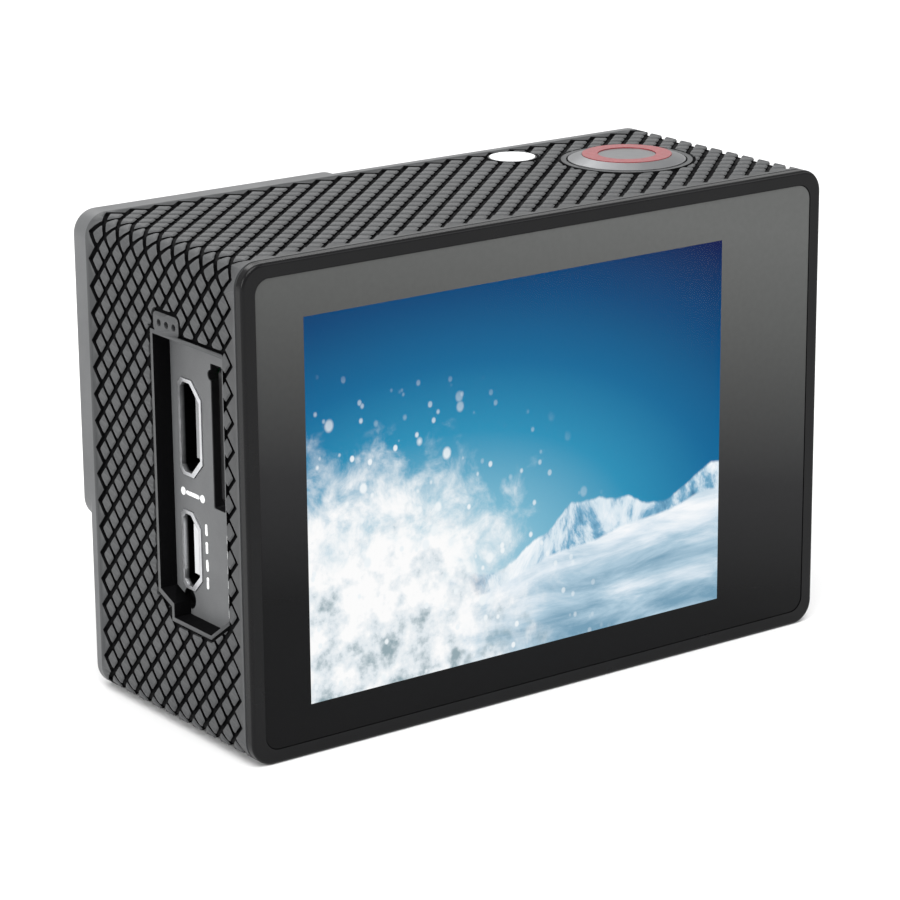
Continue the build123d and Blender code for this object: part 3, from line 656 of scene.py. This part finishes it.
def join(name, pieces):
    """One mesh object from several; their materials have to be the same list."""
    work = bmesh.new()
    for piece in pieces:
        work.from_mesh(piece.data)
    joined = pieces[0]
    work.to_mesh(joined.data)
    work.free()
    joined.name = name
    for piece in pieces[1:]:
        bpy.data.objects.remove(piece)
    return joined


def shade(piece, degrees=32):
    piece.data.shade_smooth()
    piece.data.set_sharp_from_angle(angle=math.radians(degrees))


# ---------------------------------------------------------------- outlines
def circle(x, y, radius, count=64):
    turns = [2 * math.pi * n / count for n in range(count)]
    return [(x + radius * math.cos(a), y + radius * math.sin(a)) for a in turns]


def rounded(x, y, width, height, radius, count=6):
    """A rounded rectangle about (x, y)."""
    points = []
    for corner, (sign_x, sign_y) in enumerate(((1, 1), (-1, 1), (-1, -1), (1, -1))):
        corner_x, corner_y = x + sign_x * (width / 2 - radius), y + sign_y * (height / 2 - radius)
        for n in range(count + 1):
            angle = math.pi / 2 * (corner + n / count)
            point = corner_x + radius * math.cos(angle), corner_y + radius * math.sin(angle)
            points.append(point)
    return points


def inside(point, outline):
    """Whether a point is inside a closed outline."""
    crossings = 0
    for (x1, y1), (x2, y2) in zip(outline, outline[1:] + outline[:1]):
        if (y1 > point[1]) != (y2 > point[1]):
            if point[0] < x1 + (point[1] - y1) / (y2 - y1) * (x2 - x1):
                crossings += 1
    return crossings % 2 == 1


# ---------------------------------------------------------------- the case's outside, unrolled
# s is a distance round the case: down the port side, along the base, up the key side and back along
# the top. Each flat side is (start, direction, outward, length), as (x, z), in that order.
FLAT_H, FLAT_W = HEIGHT - 2 * CORNER, 2 * (SIDE - CORNER)
FLATS = (
    (Vector((SIDE, HEIGHT - CORNER)), Vector((0, -1)), Vector((1, 0)), FLAT_H),
    (Vector((SIDE - CORNER, 0)), Vector((-1, 0)), Vector((0, -1)), FLAT_W),
    (Vector((-SIDE, CORNER)), Vector((0, 1)), Vector((-1, 0)), FLAT_H),
    (Vector((CORNER - SIDE, HEIGHT)), Vector((1, 0)), Vector((0, 1)), FLAT_W),
)
PORTS, BASE, KEYS, TOP = range(4)


def wrap(s, y, depth=0.0):
    """The point at s and y, depth under the surface, and the number of its flat side or None."""
    s %= PERIMETER
    for number, (start, along, out, length) in enumerate(FLATS):
        if s <= length:
            place = start + along * s - out * depth
            return (place.x, y, place.y), number
        s -= length
        if s <= ARC:
            angle = s / CORNER
            centre = start + along * length - out * CORNER
            turned = out * math.cos(angle) + along * math.sin(angle)
            place = centre + turned * (CORNER - depth)
            return (place.x, y, place.y), None
        s -= ARC
    return wrap(0.0, y, depth)


def on_flat(number, a, b, height):
    """A point over a flat side. (a, b) is (y, z) on the port and key sides and (x, y) elsewhere."""
    if number in (PORTS, KEYS):
        return (height if number == PORTS else -height, a, b)
    return (a, b, height if number == TOP else HEIGHT - height)


def flat_place(point, number):
    """A point's (a, b) on a flat side."""
    return (point[1], point[2]) if number in (PORTS, KEYS) else (point[0], point[1])


# The case's plastic, and the near-black painted shade of the grooves.
GRIP_MATERIALS = ("case_plastic", "groove_shade")


def prism(number, outline, inner, outer, name="prism", materials=GRIP_MATERIALS):
    """A closed prism on a flat side, from inner to outer along that side's outward axis."""
    level = SIDE if number in (PORTS, KEYS) else HEIGHT
    count = len(outline)
    vertices = [on_flat(number, a, b, level + inner) for a, b in outline]
    vertices += [on_flat(number, a, b, level + outer) for a, b in outline]
    faces = [tuple(range(count)), tuple(range(2 * count - 1, count - 1, -1))]
    faces += [(n, n + count, (n + 1) % count + count, (n + 1) % count) for n in range(count)]
    piece = new_object(name, vertices, faces, materials)
    turn_outward(piece)
    return piece


def punch(target, number, outline, operation="DIFFERENCE"):
    """Cuts target with a prism that passes right through the grip's layer."""
    carve(target, prism(number, outline, -CUTTER_REACH, CUTTER_REACH), operation)


def turn_outward(piece):
    work = bmesh.new()
    work.from_mesh(piece.data)
    bmesh.ops.recalc_face_normals(work, faces=work.faces)
    work.to_mesh(piece.data)
    work.free()


# ---------------------------------------------------------------- what interrupts the grip
def recess_outline(border):
    """The port recess, grown by border on every side but the rear one."""
    front, rear = RECESS_Y[0] - border, RECESS_Y[1]
    low, high = RECESS_Z[0] - border, RECESS_Z[1] + border
    step = RECESS_STEP
    return [
        (front, high),
        (rear, high),
        (rear, low + step),
        (rear - step * 1.4, low),
        (front + step, low),
        (front + step, low + step * 0.6),
        (front, low + step),
    ]


def patch(x, y, width, height, radius, border):
    """A rounded rectangle, grown by border."""
    return rounded(x, y, width + 2 * border, height + 2 * border, radius + border)


def opening_outlines(border):
    """Plain patches in the grip: each one's flat side, and its outline grown by border."""
    return [
        (PORTS, recess_outline(RECESS_RIM + border)),
        (PORTS, patch(*DOT_PATCH, border)),
        (KEYS, patch(MID, KEY_UP, *KEY_PATCH, border)),
        (KEYS, patch(MID, KEY_DOWN, *KEY_PATCH, border)),
        (KEYS, circle(MID, SPEAKER_Z, SPEAKER_R + border)),
        (TOP, circle(*SHUTTER, SHUTTER_R + border)),
        (TOP, circle(*LAMP, LAMP_R + border)),
        (BASE, patch(*DOOR_MID, *(size + 2 * DOOR_RIM for size in DOOR_SIZE), DOOR_R, border)),
    ]


# ---------------------------------------------------------------- the grip
class Pads:
    """Bevelled diamond pads, collected into one mesh."""

    def __init__(self):
        self.vertices, self.faces, self.slots = [], [], []

    def add(self, s, y):
        """One pad round (s, y)."""
        base = 1 - GROOVE / 2 / PAD_REACH
        crown = base - PAD_BEVEL / PAD_REACH
        rings = ((GROOVE_DEPTH + PAD_SINK, base), (PAD_SHOULDER, base), (0.0, crown))
        first = len(self.vertices)
        for depth, scale in rings:
            for sign in (-1, 1):
                for share in PAD_CUTS[::-sign]:
                    reach = sign * (1 - abs(share)) * COLUMN_STEP / 2 * scale
                    point, _ = wrap(s + share * ROW_STEP / 2 * scale, y + reach, depth)
                    self.vertices.append(point)
        count = 2 * len(PAD_CUTS)
        starts = (first, first + count, first + 2 * count)
        bottom, shoulder, top = (list(range(start, start + count)) for start in starts)
        # The foot and the lower sides of a pad take the grooves' painted shade.
        self.put([tuple(reversed(bottom))], 1)
        for lower, upper, slot in ((bottom, shoulder, 1), (shoulder, top, 0)):
            ends = [(n, (n + 1) % count) for n in range(count)]
            self.put([(lower[n], lower[m], upper[m], upper[n]) for n, m in ends], slot)
        across = [(n, n + 1, count - 2 - n, count - 1 - n) for n in range(count // 2 - 1)]
        self.put([tuple(top[n] for n in face) for face in across], 0)

    def put(self, faces, slot):
        """Adds faces: slot 0 is the case's plastic and 1 the grooves' painted shade."""
        self.faces += faces
        self.slots += [slot] * len(faces)

    def piece(self, name):
        made = new_object(name, self.vertices, self.faces, GRIP_MATERIALS, self.slots)
        turn_outward(made)
        return made


def pad_places():
    """(s, y) of every whole pad: rows of ten, and between them rows of nine."""
    for row in range(2 * ROWS):
        s = FIRST_ROW + row * ROW_STEP / 2
        shift = row % 2
        for column in range(COLUMNS - shift):
            yield s, MID - GRIP_HALF + (column + (1 + shift) / 2) * COLUMN_STEP


def pad_points(s, y):
    """A pad's corners and its middle, as (s, y)."""
    along, across = ROW_STEP / 2, COLUMN_STEP / 2
    return (s + along, y), (s - along, y), (s, y + across), (s, y - across), (s, y)


def grip(patches):
    """The pads round the case, cut where they meet a patch."""
    whole, cut = Pads(), Pads()
    for s, y in pad_places():
        _, number = wrap(s, y)
        here = [outline for side, outline in patches if side == number]
        covered = []
        for point_s, point_y in pad_points(s, y):
            place = flat_place(wrap(point_s, point_y)[0], number)
            covered.append(any(inside(place, outline) for outline in here))
        if not any(covered):
            whole.add(s, y)
        elif not all(covered):
            cut.add(s, y)
    clipped = cut.piece("clipped")
    for side, outline in patches:
        punch(clipped, side, outline)
    return [whole.piece("pads"), clipped]


def band_cutter():
    """The ring that is taken off the case between its zigzag margins, down to the groove floor."""
    vertices, faces = [], []
    steps = 3  # from one turn of the zigzag to the next, so that it follows the case's corners
    count = 2 * ROWS * steps
    for n in range(count):
        row, share = divmod(n, steps)
        first, last = (GRIP_HALF - COLUMN_STEP / 2 * ((row + k) % 2) + BAND_EDGE for k in (0, 1))
        reach = first + (last - first) * share / steps
        s = FIRST_ROW + n * ROW_STEP / 2 / steps
        floor_y, over_y = (-reach, reach), (reach, -reach)
        vertices += [wrap(s, MID + y, GROOVE_DEPTH)[0] for y in floor_y]
        vertices += [wrap(s, MID + y, -BAND_REACH)[0] for y in over_y]
    for n in range(count):
        here, there = 4 * n, 4 * ((n + 1) % count)
        for k in range(4):
            faces.append((here + k, here + (k + 1) % 4, there + (k + 1) % 4, there + k))
    cutter = new_object("band", vertices, faces, GRIP_MATERIALS)
    turn_outward(cutter)
    return cutter


def paint_groove_shade(piece):
    """Gives the faces on and beside the groove floor their painted shade, a near-black material."""
    for face in piece.data.polygons:
        x, y, z = face.center / MM
        over_x, over_z = abs(x) - SIDE + CORNER, abs(z - HEIGHT / 2) - HEIGHT / 2 + CORNER
        reach = math.hypot(max(over_x, 0), max(over_z, 0)) + min(max(over_x, over_z), 0)
        deep = CORNER - reach
        if 0.02 < deep < GROOVE_DEPTH + 0.02 and abs(y - MID) < GRIP_HALF + BAND_EDGE + 0.05:
            # Painted shade in the grooves.
            face.material_index = 1


def paint_recess_shade(piece):
    """Gives the port recess's walls the near-black painted shade of the grooves."""
    for face in piece.data.polygons:
        x, y, z = face.center / MM
        within_y = RECESS_Y[0] - RECESS_SLACK < y < RECESS_Y[1] + RECESS_SLACK
        within_z = RECESS_Z[0] - RECESS_SLACK < z < RECESS_Z[1] + RECESS_SLACK
        deep = x > SIDE - RECESS_DEPTH
        if within_y and within_z and deep and abs(face.normal.x) < 0.5:
            # Painted shade on the recess's walls.
            face.material_index = 1


def replacement(node, materials):
    """A copy of a CAD node to carve, with its own materials."""
    piece = copy_of(node, node + "_shell")
    piece.data.materials.clear()
    for material in materials:
        piece.data.materials.append(MATERIALS[material])
    return piece


def put_in_place(piece, node, body):
    """Makes a finished piece stand for a CAD node."""
    shade(piece)
    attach(piece, body)
    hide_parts(node)


def side_housing():
    housing = replacement("side_housing", GRIP_MATERIALS)
    cutter = band_cutter()
    for side, outline in opening_outlines(0.0):
        punch(cutter, side, outline)
    carve(housing, cutter)
    paint_groove_shade(housing)
    paint_recess_shade(housing)
    housing = join("side_housing_shell", [housing] + grip(opening_outlines(PAD_GAP)))
    put_in_place(housing, "side_housing", "camera")


# ---------------------------------------------------------------- the battery door
def latch_outline(border):
    """The opening that the latch slides in, and on to the door's end, grown by border."""
    low, high = box("door_latch")
    end = high.x + LATCH_TRAVEL + LATCH_SLIP
    width, height = end - low.x + 2 * border, high.y - low.y + 2 * (LATCH_SLIP + border)
    return rounded((low.x + end) / 2, (low.y + high.y) / 2, width, height, LATCH_R)


def on_door(s, y):
    (x, _, _), number = wrap(s, y)
    off_x, off_y = abs(x - DOOR_MID[0]), abs(y - DOOR_MID[1])
    return number == BASE and off_x < DOOR_SIZE[0] / 2 and off_y < DOOR_SIZE[1] / 2


def battery_door():
    """The door carries the case's pads, but for plain strips at its edges and round its latch."""
    door = replacement("battery_door", GRIP_MATERIALS)
    size = [span - 2 * DOOR_BORDER for span in DOOR_SIZE]
    cutter = band_cutter()
    punch(cutter, BASE, rounded(*DOOR_MID, *size, DOOR_FIELD_R), "INTERSECT")
    punch(cutter, BASE, latch_outline(LATCH_RIM))
    carve(door, cutter)
    paint_groove_shade(door)
    pads = Pads()
    for s, y in pad_places():
        if on_door(s, y):
            pads.add(s, y)
    pads = pads.piece("door_pads")
    field = rounded(*DOOR_MID, *(span - GROOVE for span in size), DOOR_R)
    punch(pads, BASE, field, "INTERSECT")
    punch(pads, BASE, latch_outline(LATCH_RIM + PAD_GAP))
    door = join("battery_door_shell", [door, pads])
    put_in_place(door, "battery_door", "door")


# ---------------------------------------------------------------- printed marks
def dash(y, z, width, height):
    """A bar with round ends."""
    return rounded(y, z, width, height, min(width, height) / 2 - 0.01, 4)


def dash_column(y, low, size, pitch, count):
    return [dash(y, low + n * pitch, *size) for n in range(count)]


def marks():
    """A dash between two dots for the ports, and two columns of short dashes beside them."""
    inner = box("port_panel")[1].x - SIDE
    hdmi_low, hdmi_high = box("hdmi_shell")
    y, z = middle("usb_shell").y, (box("usb_shell")[0].z + hdmi_high.z) / 2
    outlines = [dash(y, z, *SYMBOL_DASH)]
    outlines += [circle(y + off, z, SYMBOL_DOT_R, 20) for off in (-SYMBOL_DOT, SYMBOL_DOT)]
    beside, edge = hdmi_high.y + 0.75, box("card_socket")[1].y + 0.15
    outlines += dash_column(beside, hdmi_low.z + 1.2, WIDE_DASH, WIDE_PITCH, 4)
    outlines += dash_column(edge, hdmi_low.z - 0.6, FINE_DASH, FINE_PITCH, 6)
    name, outer = "port_marks", inner + PRINT_THICKNESS
    prisms = [prism(PORTS, outline, inner, outer, name, ("white_ink",)) for outline in outlines]
    mark = join(name, prisms)
    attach(mark, "camera")


# ---------------------------------------------------------------- side keys
def side_key(body, sign):
    """A side key with a pointer sunk into its face and filled with white ink."""
    node = body + "_key"
    materials = ("black_plastic", "white_ink")
    key = replacement(node, materials)
    face, z = box(node)[0].x, middle(node).z
    foot, tip = z - POINTER_LOW * sign, z + POINTER_HIGH * sign
    pointer = [(MID - POINTER_HALF, foot), (MID + POINTER_HALF, foot), (MID, tip)]
    out = -face - SIDE
    carve(key, prism(KEYS, pointer, out - POINTER_DEPTH, out + CUTTER_REACH, materials=materials))
    for polygon in key.data.polygons:
        if abs(polygon.center.x / MM - face - POINTER_DEPTH) < 0.01:
            polygon.material_index = 1
    put_in_place(key, node, body)


# ---------------------------------------------------------------- stage
VIEW_TARGET = Vector((1.1, 2.3, 18.5)) * MM
VIEW_DISTANCE = 291.7 * MM
VIEW_AZIMUTH, VIEW_ELEVATION, VIEW_ROLL = 36.08, 16.53, -0.48  # degrees; azimuth is from +Y to +X
LENS, SENSOR = 136.4, 36.0
FLOOR_HALF = 3.0  # metres
WORLD_STRENGTH = 0.75
LIGHT_AIM = Vector((0, 0, 0.02))
LIGHTS = (  # name, place in metres, size in metres, watts
    ("key", (0.3, 0.45, 1.1), (0.9, 0.9), 15.5),
    ("side", (0.9, 0.0, 0.35), (0.5, 0.5), 5.0),
    ("fill", (-0.6, 0.5, 0.45), (0.6, 0.4), 1.5),
    ("back", (-0.2, -0.6, 0.6), (0.6, 0.3), 2.0),
)


def camera():
    data = bpy.data.cameras.new("camera")
    data.lens, data.sensor_width = LENS, SENSOR
    data.clip_start, data.clip_end = 0.01, 20.0
    azimuth, elevation = math.radians(VIEW_AZIMUTH), math.radians(VIEW_ELEVATION)
    flat = math.cos(elevation)
    back = Vector((math.sin(azimuth) * flat, math.cos(azimuth) * flat, math.sin(elevation)))
    eye = bpy.data.objects.new("camera", data)
    eye.location = VIEW_TARGET + back * VIEW_DISTANCE
    eye.rotation_euler = (-back).to_track_quat("-Z", "Y").to_euler()
    eye.rotation_euler.rotate_axis("Z", math.radians(VIEW_ROLL))
    bpy.context.scene.collection.objects.link(eye)
    bpy.context.scene.camera = eye


def area_light(name, place, size, power):
    data = bpy.data.lights.new(name, "AREA")
    data.shape, data.size, data.size_y, data.energy = "RECTANGLE", *size, power
    lamp = bpy.data.objects.new(name, data)
    lamp.location = place
    lamp.rotation_euler = (LIGHT_AIM - lamp.location).to_track_quat("-Z", "Y").to_euler()
    bpy.context.scene.collection.objects.link(lamp)


def floor():
    s = Shader("floor", roughness=0.7, specular_ior_level=0.1)
    s.set(base_color=s.mix(s.noise(60.0, 3.0), linear(222, 222, 222), linear(228, 228, 228)))
    mesh = bpy.data.meshes.new("floor")
    work = bmesh.new()
    bmesh.ops.create_grid(work, x_segments=8, y_segments=8, size=FLOOR_HALF)
    work.to_mesh(mesh)
    work.free()
    mesh.materials.append(s.material)
    ground = bpy.data.objects.new("floor", mesh)
    bpy.context.scene.collection.objects.link(ground)


def studio():
    world = bpy.data.worlds.new("studio")
    world.use_nodes = True
    background = world.node_tree.nodes["Background"]
    background.inputs["Color"].default_value = (1, 1, 1, 1)
    background.inputs["Strength"].default_value = WORLD_STRENGTH
    bpy.context.scene.world = world
    bpy.context.scene.view_settings.view_transform = "Standard"
    for light in LIGHTS:
        area_light(*light)


dress_nodes()
side_housing()
battery_door()
marks()
side_key("up", 1)
side_key("down", -1)
camera()
floor()
studio()
